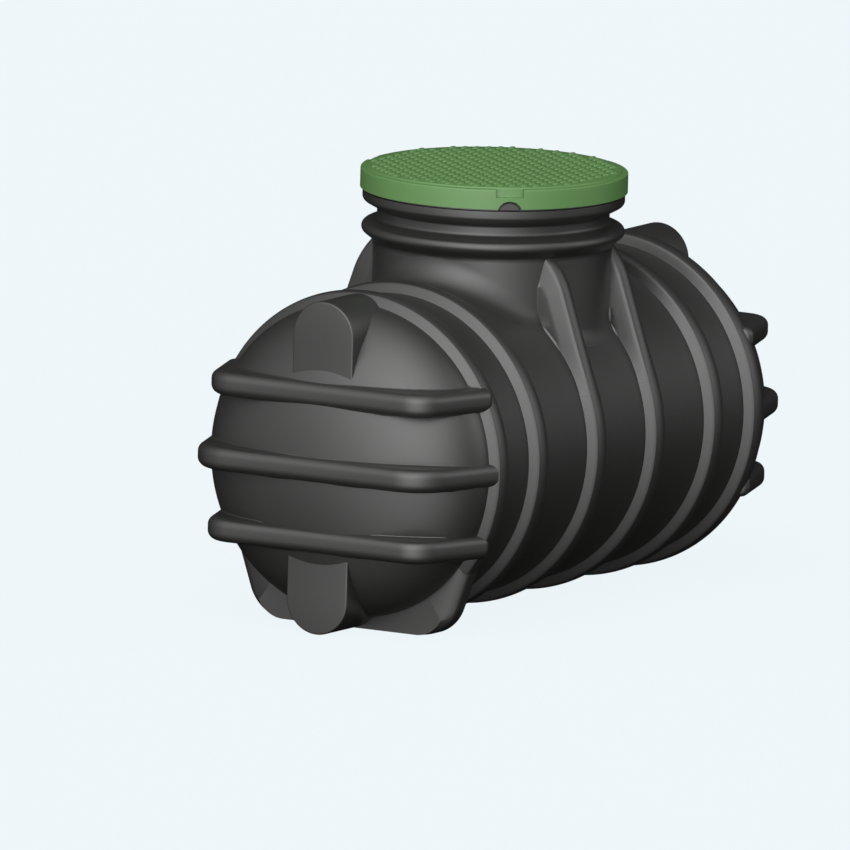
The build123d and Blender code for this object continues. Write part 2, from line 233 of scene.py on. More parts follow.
# barrel: radius plus the ridge of each ring, turned about the long axis, with an inner skin one wall
# further in; it is left open under the neck, and rings 3 and 4 are left out above the gussets' feet
def makeBarrel():
    settings = dict(turns=256, bayRows=5, flankRows=5, crestRows=17, openRadius=321 * mm,
                    crestMargin=3 * mm, rowGap=1 * mm, clearAngle=1)
    half, crestHalf = tank["ringHalf"], tank["crestHalf"]
    reach = crestHalf + settings["crestMargin"]
    flank = np.linspace(-half, -reach - settings["rowGap"], settings["flankRows"])
    crest = np.linspace(-reach, reach, settings["crestRows"])
    offsets = np.concatenate([flank, crest, -flank[::-1]])
    rows, owners = [], []
    for number, place in enumerate(tank["ringPlaces"]):
        if number:
            rows += list(np.linspace(rows[-1], place - half, settings["bayRows"] + 2)[1:-1])
            owners += [-1] * settings["bayRows"]
        rows += list(place + offsets)
        owners += [number] * len(offsets)
    rows, owners = np.array(rows), np.array(owners)
    places = np.array(tank["ringPlaces"])
    rise = np.where(owners >= 0, ridge(rows - places[owners]), 0)
    lean = math.radians(tank["gussetLean"] + settings["clearAngle"])  # rings 3 and 4 end inside the gussets
    turn = np.linspace(lean, lean + 2 * math.pi, settings["turns"], endpoint=False)
    inTop = (np.sin(turn) > math.sin(lean) + 1e-6)[None, :]
    besideNeck = np.isin(owners, (2, 3))[:, None]
    radius = tank["radius"] + rise[:, None] * np.where(inTop & besideNeck, 0, 1)
    upward = tank["axis"] + radius * np.sin(turn)
    points = np.stack([radius * np.cos(turn), rows[:, None] + 0 * turn, upward], axis=-1)
    inner = points.copy()
    shrink = (radius - tank["wall"]) / radius
    inner[..., 0] *= shrink
    inner[..., 2] = tank["axis"] + (inner[..., 2] - tank["axis"]) * shrink
    count = rows.size * settings["turns"]
    outerFaces = np.array(gridFaces(rows.size, settings["turns"], closeColumns=True))
    flat = points.reshape(-1, 3)
    inside = (np.hypot(flat[:, 0], flat[:, 1]) < settings["openRadius"]) & (flat[:, 2] > tank["axis"])
    keep = ~inside[outerFaces].any(axis=1)
    outerFaces = outerFaces[keep]
    innerFaces = outerFaces[:, ::-1] + count
    rim = openEdges(outerFaces)
    rimFaces = np.stack([rim[:, 1], rim[:, 0], rim[:, 0] + count, rim[:, 1] + count], axis=-1)
    faces = np.concatenate([outerFaces, innerFaces, rimFaces])
    piece = putMesh("barrelSkin", np.concatenate([flat, inner.reshape(-1, 3)]), faces, blackPlastic,
                    22)
    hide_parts(*ringNames, *["bay_%d" % n for n in range(1, 6)])
    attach(piece, "tank")


# directed edges of the faces that no other face shares
def openEdges(faces):
    edges = np.concatenate([faces[:, [k, (k + 1) % 4]] for k in range(4)])
    keys = {tuple(e) for e in edges.tolist()}
    return np.array([e for e in keys if (e[1], e[0]) not in keys])


makeBarrel()
print("barrel made")


# name of a node as it is used for the names of pieces: front_dome becomes frontDome
def camel(node):
    first, *rest = node.split("_")
    return first + "".join(word.capitalize() for word in rest)


# domed ends: half ellipses turned about the barrel's axis, outside and inside
def makeDome(side, node):
    settings = dict(turns=192, rows=48)
    wall = tank["wall"]
    turn = np.linspace(0, 2 * math.pi, settings["turns"], endpoint=False)[None, :]
    t = np.linspace(0, math.pi / 2, settings["rows"])[:, None]

    def bowl(inset):
        radius = (tank["radius"] - inset) * np.cos(t)
        along = side * (tank["domeStart"] + (tank["domeDepth"] - inset) * np.sin(t)) + 0 * turn
        return np.stack([radius * np.cos(turn), along, tank["axis"] + radius * np.sin(turn)], axis=-1)

    both = np.concatenate([bowl(0)[::-1], bowl(wall)])  # from the outer pole to the edge, and back inside
    faces = gridFaces(2 * settings["rows"], settings["turns"], closeColumns=True)
    name = camel(node) + "Skin"
    piece = putMesh(name, both.reshape(-1, 3), faces, blackPlastic)
    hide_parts(node)
    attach(piece, "tank")


for side, node in ((-1, "front_dome"), (1, "rear_dome")):
    makeDome(side, node)
print("domes made")


# neck: an upright tube whose foot is a hollow arc that touches both the tube and the barrel; where it
# touches the barrel is found at each turn
def makeNeck():
    settings = dict(turns=288, blend=80 * mm, blendRows=14, wallRows=4,
                    searchLow=0.9, searchHigh=1.2, halvings=50)
    turn = np.linspace(0, 2 * math.pi, settings["turns"], endpoint=False)
    neckRadius, blend, wall = tank["neckRadius"], settings["blend"], tank["wall"]
    low = np.full(turn.shape, neckRadius * settings["searchLow"])
    high = np.full(turn.shape, neckRadius + blend * settings["searchHigh"])
    for _ in range(settings["halvings"]):  # bisection for where the blend's circle touches the barrel
        trial = (low + high) / 2
        height = np.sqrt(tank["radius"] ** 2 - (trial * np.cos(turn)) ** 2)
        slope = -trial * np.cos(turn) ** 2 / height
        reach = trial - blend * slope / np.sqrt(1 + slope**2)
        short = reach < neckRadius + blend
        low, high = np.where(short, trial, low), np.where(short, high, trial)
    touch = trial
    touchHeight = tank["axis"] + height
    centreHeight = touchHeight + blend / np.sqrt(1 + slope**2)
    endAngle = np.arctan2(touchHeight - centreHeight, touch - neckRadius - blend) % (2 * np.pi)
    columns = []
    columns.append(np.stack([touch, touchHeight - wall], axis=-1))
    for share in np.linspace(1, 0, settings["blendRows"]):
        angle = np.pi + (endAngle - np.pi) * share
        outward = neckRadius + blend + blend * np.cos(angle)
        columns.append(np.stack([outward, centreHeight + blend * np.sin(angle)], axis=-1))
    for share in np.linspace(0, 1, settings["wallRows"] + 1)[1:]:
        level = centreHeight + (neckHigh[2] - centreHeight) * share
        columns.append(np.stack([0 * turn + neckRadius, level], axis=-1))
    inner = neckRadius - wall
    innerFoot = tank["axis"] + np.sqrt((tank["radius"] - wall) ** 2 - (inner * np.cos(turn)) ** 2)
    columns.append(np.stack([0 * turn + inner, 0 * turn + neckHigh[2]], axis=-1))
    columns.append(np.stack([0 * turn + inner, innerFoot], axis=-1))
    loop = np.stack(columns, axis=1)
    east, north = np.cos(turn)[:, None], np.sin(turn)[:, None]
    points = np.stack([loop[..., 0] * east, loop[..., 0] * north, loop[..., 1]], axis=-1)
    faces = gridFaces(*loop.shape[:2], closeRows=True, closeColumns=True)
    piece = putMesh("neckSkin", points.reshape(-1, 3), faces, blackPlastic, 40)
    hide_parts("neck")
    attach(piece, "tank")


makeNeck()
print("neck made")


# closed ring turned about the neck from a closed profile of (radius, height)
def closedRevolve(name, profile, steps, node, material, sharp=30):
    points = turnAboutNeck(profile, steps)
    faces = gridFaces(steps, len(profile), closeRows=True, closeColumns=True)
    piece = putMesh(name, points.reshape(-1, 3), faces, material, sharp)
    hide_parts(node)
    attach(piece, "tank")


# bead: a profile from the neck out over a round bulge and in to the groove, turned about the neck
def makeBead():
    settings = dict(turns=288, lowerCorner=27 * mm, upperCorner=46 * mm, end=63 * mm, crestRound=16 * mm,
                    neckRound=14 * mm, grooveRound=12 * mm, lip=7 * mm, start=2 * mm, innerLow=0.5,
                    innerHigh=0.7, thinEdge=1 * mm)
    wall, low, high, widest = tank["wall"], beadLow[2], beadHigh[2], beadHigh[0]
    groove, neckRadius = tank["grooveRadius"], tank["neckRadius"]
    lift, sink = wall * settings["innerLow"], wall * settings["innerHigh"]
    outer = roundedPath([
        (neckRadius, low - settings["lip"]), (neckRadius, low + settings["start"]),
        (widest, low + settings["lowerCorner"]), (widest, low + settings["upperCorner"]),
        (groove, low + settings["end"]), (groove, high),
    ], [settings["neckRound"], settings["crestRound"], settings["crestRound"], settings["grooveRound"]])
    inner = np.array([
        (groove - wall, high), (groove - wall, low + settings["end"] - sink),
        (widest - wall, low + settings["upperCorner"] - sink),
        (widest - wall, low + settings["lowerCorner"] + lift),
        (neckRadius - wall, low + settings["start"] + lift), (neckRadius - wall, low),
        (neckRadius - settings["thinEdge"], low - settings["lip"]),
    ])
    profile = np.concatenate([outer, inner])
    closedRevolve("neckBeadSkin", profile, settings["turns"], "neck_bead", blackPlastic)


# collar: a profile of groove, wide band, step and seat for the lid, turned about the neck, with an arched
# tab in front of it for each cut-out of the lid
def makeCollar():
    settings = dict(
        turns=288, start=13 * mm, corner=35.5 * mm, stepRise=63 * mm, step=4 * mm,
        crestRound=14 * mm, grooveRound=7 * mm, edgeRound=1.5 * mm,
        tabGap=5 * mm, tabSetback=3 * mm, tabEdge=1.5 * mm, tabSteps=25, tabRoot=3 * mm,
        innerLow=0.5, innerHigh=0.7,
    )
    wall, low, top = tank["wall"], collarLow[2], lidHigh[2] - lid["seatDrop"]
    widest = (collarHigh[1] - collarLow[1]) / 2
    seat, groove, edge = widest - settings["step"], tank["grooveRadius"], settings["edgeRound"]
    stepHeight = low + settings["stepRise"]
    profile = roundedPath([
        (groove, low), (groove, low + settings["start"]), (widest, low + settings["corner"]),
        (widest, stepHeight - settings["step"] / 2), (seat, stepHeight), (seat, top), (seat - wall, top),
        (seat - wall, low + settings["corner"] + wall * settings["innerLow"]),
        (groove - wall, low + settings["start"] + wall * settings["innerHigh"]),
        (groove - wall, low),
    ], [settings["grooveRound"], settings["crestRound"], edge, edge, edge, edge, edge, edge])
    closedRevolve("neckCollarSkin", profile, settings["turns"], "neck_collar", blackPlastic)
    points, faces = [], []
    turn = np.linspace(0, math.pi, settings["tabSteps"])
    tabCentre = lidLow[2] + lid["cutHeight"] - lid["cutRadius"]
    tabFace = lidHigh[0] - settings["tabSetback"]
    tabEdge = settings["tabEdge"]
    for angle in lid["cutAngles"]:
        heading = math.radians(angle)
        for depth, shrink in ((seat - settings["tabRoot"], 0), (tabFace - tabEdge, 0), (tabFace, tabEdge)):
            radius = lid["cutRadius"] - settings["tabGap"] - shrink
            across, height = radius * np.cos(turn), tabCentre + radius * np.sin(turn)
            height = np.maximum(height, stepHeight + edge + shrink)
            outward = np.sqrt(depth**2 - across**2)
            east = outward * math.cos(heading) - across * math.sin(heading)
            north = outward * math.sin(heading) + across * math.cos(heading)
            points.append(np.stack([east, north, height], axis=-1))
    columns = len(turn)
    for tab in range(len(lid["cutAngles"])):
        start = tab * 3 * columns
        faces += gridFaces(3, columns, closeColumns=True, start=start)
        faces.append(list(range(start + 2 * columns, start + 3 * columns)))
        faces.append(list(range(start + columns - 1, start - 1, -1)))
    tabs = putMesh("collarTabs", np.concatenate(points), faces, blackPlastic)
    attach(tabs, "tank")


makeBead()
makeCollar()
print("bead and collar made")


# ridges that leave the barrel: gussets and foot
# each section is the ring's ridge, drawn inwards from the outline and deepened row by row; its two flat
# sides run on to the neck or barrel, where a small lip meets the surface
def sweptRidge(name, node, place, outline, normals, deepening, surfaceAt, sideSign=1):
    settings = dict(flankSteps=5, crestSteps=17, lip=5 * mm, buried=4 * mm, crestMargin=2 * mm,
                    rowGap=1 * mm)
    half = tank["ringHalf"]
    reach = tank["crestHalf"] + settings["crestMargin"]
    flank = np.linspace(-half, -reach - settings["rowGap"], settings["flankSteps"])
    crest = np.linspace(-reach, reach, settings["crestSteps"])
    across = np.concatenate([flank, crest, -flank[::-1]])
    drop = tank["rise"] - ridge(across)
    sections = outline[:, None, :] - normals[:, None, :] * (drop[None, :] * deepening[:, None])[..., None]
    along = place + across[None, :] + 0 * sections[..., 0]
    for side, edge in ((-1, 0), (1, -1)):
        start, end = sections[:, edge], place + side * half
        lipEnd = surfaceAt(start, end, settings["lip"])
        deepEnd = surfaceAt(start, end + side * settings["lip"], -settings["buried"])
        columns = [(lipEnd, end), (deepEnd, end + side * settings["lip"])]
        for points, where in columns:
            points, where = points[:, None], np.full((len(points), 1), where)
            sections = np.concatenate([points, sections] if side < 0 else [sections, points], axis=1)
            along = np.concatenate([where, along] if side < 0 else [along, where], axis=1)
    points = np.stack([sideSign * sections[..., 0], along, tank["axis"] + sections[..., 1]], axis=-1)
    rows, columns = points.shape[:2]
    faces = gridFaces(rows, columns, closeColumns=True)
    faces += [list(range(columns)), list(range(rows * columns - 1, (rows - 1) * columns - 1, -1))]
    piece = putMesh(name, points.reshape(-1, 3), faces, blackPlastic, 22)
    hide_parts(node)
    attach(piece, "tank")


# gusset: its outline leaves the ring's crest along a tangent, runs straight to the shoulder, bends in an
# arc to the neck's side and ends inside the neck
def makeGussets():
    settings = dict(shoulder=429 * mm, top=508 * mm, topHalfWidth=295 * mm,
                    straightSteps=20, bendSteps=12, endSteps=6, straightDepth=1.9, topDepth=2.4,
                    runIn=45 * mm, deepFrom=0.45)
    lean = math.radians(tank["gussetLean"])
    crest = tank["crest"]
    footPoint = np.array([crest * math.cos(lean), crest * math.sin(lean)])
    shoulderX = (crest - settings["shoulder"] * math.sin(lean)) / math.cos(lean)
    shoulder = np.array([shoulderX, settings["shoulder"]])
    chord = np.array([shoulder[0] - settings["topHalfWidth"], settings["top"] - settings["shoulder"]])
    halfTurn = math.atan2(chord[0], chord[1]) - lean
    radius = np.hypot(*chord) / 2 / math.sin(halfTurn)
    centre = shoulder - radius * np.array([math.cos(lean), math.sin(lean)])
    straight = footPoint + (shoulder - footPoint) * np.linspace(0, 1, settings["straightSteps"])[:, None]
    bend = np.linspace(lean, lean + 2 * halfTurn, settings["bendSteps"])[1:]
    bendNormals = np.stack([np.cos(bend), np.sin(bend)], axis=-1)
    runIn = np.linspace(0, settings["runIn"], settings["endSteps"])[1:, None]
    heading = np.array([-bendNormals[-1][1], bendNormals[-1][0]])
    bendPoints = centre + radius * bendNormals
    outline = np.concatenate([straight, bendPoints, bendPoints[-1] + runIn * heading])
    normals = np.concatenate([np.tile([math.cos(lean), math.sin(lean)], (len(straight), 1)), bendNormals,
                              np.tile(bendNormals[-1], (len(runIn), 1))])
    deep = settings["straightDepth"]
    stations = [0, len(straight) * settings["deepFrom"], len(straight), len(outline) - 1]
    deepening = np.interp(np.arange(len(outline)), stations, [1, deep, deep, settings["topDepth"]])

    # points at the height of a section on the neck or the barrel, whichever is further out, plus a lift
    def surfaceAt(section, along, lift):
        neckX = math.sqrt((tank["neckRadius"] + lift) ** 2 - along**2)
        barrelX = np.sqrt(np.maximum((tank["radius"] + lift) ** 2 - section[:, 1] ** 2, 0))
        return np.stack([np.minimum(np.maximum(neckX, barrelX), section[:, 0]), section[:, 1]], axis=-1)

    for node in ("front_left_gusset", "front_right_gusset", "rear_left_gusset", "rear_right_gusset"):
        low, high = boxOf(node)
        place = (low[1] + high[1]) / 2
        sideSign = 1 if high[0] > 0 else -1
        name = camel(node) + "Skin"
        sweptRidge(name, node, place, outline, normals, deepening, surfaceAt, sideSign)


# foot: at each place across, the saddle outline moved in by the inset there; its base stays level
def makeFoot():
    settings = dict(startAngle=37.4, halfWidth=304 * mm, corner=118 * mm, frontHalf=19 * mm,
                    crestRound=16 * mm, sideSteps=16, cornerSteps=20, baseSteps=8, buried=6 * mm)
    axis, rise, half = tank["axis"], tank["rise"], tank["ringHalf"]
    start = math.radians(settings["startAngle"])
    low, high = boxOf("front_foot")
    place = (low[1] + high[1]) / 2
    corners = [(-half, rise), (-settings["frontHalf"], 0), (tank["crestHalf"], 0), (half, rise)]
    section = roundedPath(corners, [settings["crestRound"]] * 2)

    def outline(inset):
        leave = (tank["crest"] - inset) * np.array([math.cos(start), -math.sin(start)])
        corners = [leave, (settings["halfWidth"] - inset, -axis), (0, -axis)]
        path = roundedPath(corners, [settings["corner"] - inset], settings["cornerSteps"])
        side = path[0] + (path[1] - path[0]) * np.linspace(0, 1, settings["sideSteps"])[:-1, None]
        base = path[-2] + (path[-1] - path[-2]) * np.linspace(0, 1, settings["baseSteps"])[1:, None]
        right = np.concatenate([side, path[1:-1], base])
        return np.concatenate([right, right[-2::-1] * [-1, 1]])

    lines, places = [], []
    for offset, inset in section:
        lines.append(outline(inset))
        places.append(place + offset)
    for edge in (0, -1):
        inner = lines[edge]
        shrink = np.minimum((tank["radius"] - settings["buried"]) / np.hypot(inner[:, 0], inner[:, 1]), 1)
        lines.insert(0 if edge == 0 else len(lines), inner * shrink[:, None])
        places.insert(0 if edge == 0 else len(places), places[edge])
    grid = np.stack([np.stack([line[:, 0], np.full(len(line), along), axis + line[:, 1]], axis=-1)
                     for line, along in zip(lines, places)], axis=1)
    rows, columns = grid.shape[:2]
    faces = gridFaces(rows, columns, closeColumns=True)
    faces += [list(range(columns)), list(range(rows * columns - 1, (rows - 1) * columns - 1, -1))]
    piece = putMesh("frontFootSkin", grid.reshape(-1, 3), faces, blackPlastic, 40)
    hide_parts("front_foot")
    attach(piece, "tank")


makeGussets()
makeFoot()
print("gussets and foot made")


# rib across a domed end: a half-round section carried along straight, arc and straight, whose upper and
# lower faces run inwards to the dome or end ring and meet it in a small root
def makeRib(node):
    level = middleOf(node)[2] - tank["axis"]
    isMiddle = "middle" in node
    low, high = boxOf(node)
    settings = dict(flare=71.0, corner=130 * mm if isMiddle else 92 * mm, roundSteps=8, rootRound=8 * mm,
                    frontSteps=12, cornerSteps=16, sideSteps=14, end=678 * mm, halfHeight=33 * mm,
                    topRound=24 * mm, bottomRound=26 * mm, endRound=20 * mm, endSteps=8, endDrop=0.5,
                    rootSteps=6, rootBeyond=1.5 * mm, buried=4 * mm, tailDrop=2 * mm, reach=0.45,
                    halvings=40)
    side = 1 if high[1] > 0 else -1
    front = high[1] if side > 0 else -low[1]
    flare = math.radians(settings["flare"])
    cornerX = high[0] - (front - min(abs(low[1]), abs(high[1]))) / math.tan(flare)
    tangentLength = settings["corner"] * math.tan(flare / 2)
    straight = np.stack([np.linspace(0, cornerX - tangentLength, settings["frontSteps"]),
                         np.full(settings["frontSteps"], front)], axis=-1)
    centre = np.array([cornerX - tangentLength, front - settings["corner"]])
    turn = np.linspace(math.pi / 2, math.pi / 2 - flare, settings["cornerSteps"])[1:]
    bendNormals = np.stack([np.cos(turn), np.sin(turn)], axis=-1)
    bend = centre + settings["corner"] * bendNormals
    heading = np.array([bendNormals[-1][1], -bendNormals[-1][0]])
    run = (bend[-1][1] - settings["end"]) / -heading[1]
    endRound = settings["endRound"]
    endTurn = np.linspace(0, math.pi / 2, settings["endSteps"])[1:]
    plainRun = run - endRound
    reach = np.concatenate([np.linspace(0, plainRun, settings["sideSteps"])[1:],
                            plainRun + endRound * np.sin(endTurn)])
    tuck = np.concatenate([np.zeros(settings["sideSteps"] - 1), endRound * (1 - np.cos(endTurn))])
    tail = bend[-1] + heading * reach[:, None] - bendNormals[-1] * tuck[:, None]
    half = np.concatenate([straight, bend, tail])
    halfNormals = np.concatenate([np.tile([0.0, 1.0], (len(straight), 1)), bendNormals,
                                  np.tile(bendNormals[-1], (len(tail), 1))])
    path = np.concatenate([half[::-1] * [-1, 1], half[1:]])
    normals = np.concatenate([halfNormals[::-1] * [-1, 1], halfNormals[1:]])
    tuck = np.concatenate([np.zeros(len(straight) + len(bend)), tuck])
    shrink = 1 - settings["endDrop"] * np.concatenate([tuck[::-1], tuck[1:]]) / settings["halfHeight"]
    roundRadius = settings["halfHeight"]
    depths, heights = [], []
    for sign, radius in ((-1, settings["bottomRound"]), (1, settings["topRound"])):
        around = sign * np.linspace(0, math.pi / 2, settings["roundSteps"])[::sign]
        depths.append(radius * (1 - np.cos(around)))
        heights.append(level + sign * (roundRadius - radius) + radius * np.sin(around))
    depth, height = np.concatenate(depths), np.concatenate(heights)
    sections = path[:, None, :] - normals[:, None, :] * depth[None, :, None]
    heights = level + (height - level)[None, :] * shrink[:, None]

    # depth along the inward normal at which a level line meets the dome or the end ring, by bisection
    def landing(start, z):
        near, far = np.zeros(len(start)), np.full(len(start), settings["reach"])
        for _ in range(settings["halvings"]):
            trial = (near + far) / 2
            at = start - normals * trial[:, None]
            outside = np.hypot(at[:, 0], z) > skinRadius(at[:, 1])
            near, far = np.where(outside, trial, near), np.where(outside, far, trial)
        return near

    columns, levels = [], []
    for sign, edgeRadius in ((-1, settings["bottomRound"]), (1, settings["topRound"])):
        z = level + sign * roundRadius * shrink
        webStart = path - normals * edgeRadius
        meet = landing(webStart, z)
        footRound = settings["rootRound"]
        beyond = landing(webStart, z + sign * footRound)
        a = np.maximum(meet - footRound, 0)
        control, b = meet, beyond + settings["rootBeyond"]
        roots, rootLevels = [], []
        for t in np.linspace(0, 1, settings["rootSteps"]):
            inward = (1 - t) ** 2 * a + 2 * t * (1 - t) * control + t**2 * b
            roots.append(webStart - normals * inward[:, None])
            rootLevels.append(z + sign * footRound * t**2)
        roots.append(webStart - normals * (b + settings["buried"])[:, None])
        rootLevels.append(z - sign * settings["tailDrop"])
        if sign < 0:
            roots, rootLevels = roots[::-1], rootLevels[::-1]
        columns.append(np.stack(roots, axis=1))
        levels.append(np.stack(rootLevels, axis=1))
    sections = np.concatenate([columns[0], sections, columns[1]], axis=1)
    heights = np.concatenate([levels[0], heights, levels[1]], axis=1)
    points = np.stack([sections[..., 0], side * sections[..., 1], tank["axis"] + heights], axis=-1)
    rows, wide = points.shape[:2]
    faces = gridFaces(rows, wide, closeColumns=True)
    faces += [list(range(wide)), list(range(rows * wide - 1, (rows - 1) * wide - 1, -1))]
    piece = putMesh(camel(node) + "Skin", points.reshape(-1, 3), faces, blackPlastic, 50)
    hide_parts(node)
    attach(piece, "tank")


for node in [end + "_" + row + "_rib" for end in ("front", "rear") for row in ("upper", "middle", "lower")]:
    makeRib(node)
print("ribs made")


# lug: an arch on two upright sides, flat in front, that runs back into the dome or the end ring
def makeLug(node):
    low, high = boxOf(node)
    settings = dict(halfWidth=96 * mm, edgeRound=5 * mm, archSteps=40, sideSteps=6, edgeSteps=6,
                    footHeight=235 * mm, buried=3 * mm, clear=1 * mm, halvings=40)
    side = 1 if high[1] > 0 else -1
    face = max(abs(low[1]), abs(high[1]))
    top = node.endswith("top_lug")
    crown = high[2] - tank["axis"] if top else tank["axis"] - low[2]
    centre = crown - settings["halfWidth"]
    arch = arcPoints((0, centre), settings["halfWidth"], 0, 180, settings["archSteps"])
    rise = np.linspace(settings["footHeight"], centre, settings["sideSteps"])[:-1]
    rightSide = np.stack([np.full(rise.shape, settings["halfWidth"]), rise], axis=-1)
    outline = np.concatenate([rightSide, arch, rightSide[::-1] * [-1, 1]])
    out = np.concatenate([np.tile([1.0, 0.0], (len(rise), 1)), (arch - [0, centre]) / settings["halfWidth"],
                          np.tile([-1.0, 0.0], (len(rise), 1))])
    radius = np.hypot(outline[:, 0], outline[:, 1])
    near, far = np.full(len(outline), endRing), np.full(len(outline), face)
    for _ in range(settings["halvings"]):  # where each line of the lug runs into the dome or the ring
        trial = (near + far) / 2
        outside = radius > skinRadius(trial)
        near, far = np.where(outside, near, trial), np.where(outside, trial, far)
    edge = settings["edgeRound"]
    columns = [(outline, trial - settings["buried"])]
    columns.append((outline, np.minimum(trial + settings["clear"], face - edge)))
    for angle in np.linspace(0, math.pi / 2, settings["edgeSteps"]):
        depth = np.full(len(outline), face - edge + edge * math.sin(angle))
        columns.append((outline - out * edge * (1 - math.cos(angle)), depth))
    points = np.stack([np.stack([c[:, 0], side * y, tank["axis"] + (c[:, 1] if top else -c[:, 1])], axis=-1)
                       for c, y in columns], axis=0)
    rows, wide = points.shape[:2]
    faces = gridFaces(rows, wide, closeColumns=True)
    faces += [list(range(wide)), list(range(rows * wide - 1, (rows - 1) * wide - 1, -1))]
    piece = putMesh(camel(node) + "Skin", points.reshape(-1, 3), faces, blackPlastic, 40)
    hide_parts(node)
    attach(piece, "tank")


for node in [end + "_" + place + "_lug" for end in ("front", "rear") for place in ("top", "bottom")]:
    makeLug(node)
print("lugs made")


# lid: one closed loop of points at each turn, over skirt, edge, crown, underside and seat; at the three
# angles the skirt has an arched cut-out below and a pocket above
def makeLid():
    settings = dict(
        skirtTop=1180 * mm, wall=4.5 * mm, edge=5 * mm, edgeSweep=75,
        underHeight=1178 * mm, seatOuter=350 * mm, seatInner=338 * mm, seatGap=0.3 * mm,
        pocketHalf=6.0, pocketDepth=14 * mm, pocketFloor=1157 * mm,
        pocketRound=1.2 * mm, skirtRows=6, edgeRows=8, underPocket=6 * mm, underSkirt=4 * mm,
        plainTurns=60, cutTurns=25, edgeTurn=0.12,
    )
    radius, low = lidHigh[0], lidLow[2]
    seatHeight = lidHigh[2] - lid["seatDrop"] + settings["seatGap"]
    cutRadius = lid["cutRadius"]
    cutCentre = low + lid["cutHeight"] - cutRadius
    cutTurn = math.degrees(lid["cutHalf"] / radius)
    half = settings["pocketHalf"]
    wide = half + settings["edgeTurn"]
    cutSteps = np.linspace(-cutTurn, cutTurn, settings["cutTurns"])
    local = np.unique(np.round(np.concatenate([cutSteps, [-wide, -half, half, wide]]), 4))
    gap = 360 / len(lid["cutAngles"])
    turns = []
    for angle in lid["cutAngles"]:
        turns += list(angle + local)
        turns += list(angle + np.linspace(local[-1], gap + local[0], settings["plainTurns"] + 2)[1:-1])
    turns = np.array(turns)
    offset = (turns[:, None] - np.array(lid["cutAngles"])[None, :] + 180) % 360 - 180
    offset = offset[np.arange(len(turns)), np.abs(offset).argmin(axis=1)]
    across = np.radians(offset) * radius
    arch = cutCentre + np.sqrt(np.maximum(cutRadius**2 - across**2, 0))
    bottom = np.where(np.abs(offset) < cutTurn - 1e-6, np.maximum(arch, low), low)
    inPocket = (np.abs(offset) <= half + 1e-6).astype(float)
    edge, crown = settings["edge"], lid["crownRadius"]
    skirtTop, crownTop = settings["skirtTop"], lid["crownTop"]
    edgeCentre = (radius - edge, skirtTop - edge)
    roundEdge = arcPoints(edgeCentre, edge, 0, settings["edgeSweep"], settings["edgeRows"])
    floor, soft = settings["pocketFloor"], settings["pocketRound"]
    inner = radius - settings["pocketDepth"]
    pocket = np.array([
        (radius, floor - soft), (radius - soft, floor), (inner + 2 * soft, floor),
        (inner + soft / 2, floor + soft / 2), (inner, floor + 2 * soft), (inner, skirtTop - 3 * mm),
        (inner, skirtTop - 1 * mm), (inner - 0.3 * mm, skirtTop - 0.2 * mm),
    ])
    outside = np.full(len(turns), radius)
    columns = []
    for share in np.linspace(0, 1, settings["skirtRows"]):
        height = bottom + (floor - settings["underPocket"] - bottom) * share
        columns.append(np.stack([outside, height], axis=-1))
    for plain, cut in zip(roundEdge, pocket):
        columns.append(plain[None, :] + (cut - plain)[None, :] * inPocket[:, None])
    # flat rim, a small step up, and the flat crown
    for ring in ((crown + 1 * mm, skirtTop), (crown, skirtTop + 0.4 * mm),
                 (crown - 2 * mm, crownTop - 0.8 * mm), (crown - 4 * mm, crownTop),
                 (crown * 0.5, crownTop), (0, crownTop)):
        columns.append(np.tile(ring, (len(turns), 1)))
    for ring in ((0, settings["underHeight"]), (settings["seatInner"], settings["underHeight"]),
                 (settings["seatInner"], seatHeight), (settings["seatOuter"], seatHeight),
                 (settings["seatOuter"], floor - settings["underSkirt"])):
        columns.append(np.tile(ring, (len(turns), 1)))
    inside = np.full(len(turns), radius - settings["wall"])
    columns.append(np.stack([inside, np.full(len(turns), floor - settings["underSkirt"])], axis=-1))
    columns.append(np.stack([inside, bottom], axis=-1))
    profile = np.stack(columns, axis=1)
    east, north = np.cos(np.radians(turns))[:, None], np.sin(np.radians(turns))[:, None]
    points = np.stack([profile[..., 0] * east, profile[..., 0] * north, profile[..., 1]], axis=-1)
    faces = gridFaces(*points.shape[:2], closeRows=True, closeColumns=True)
    piece = putMesh("lidSkin", points.reshape(-1, 3), faces, greenPlastic, 35)
    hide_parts("lid")
    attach(piece, "lid")


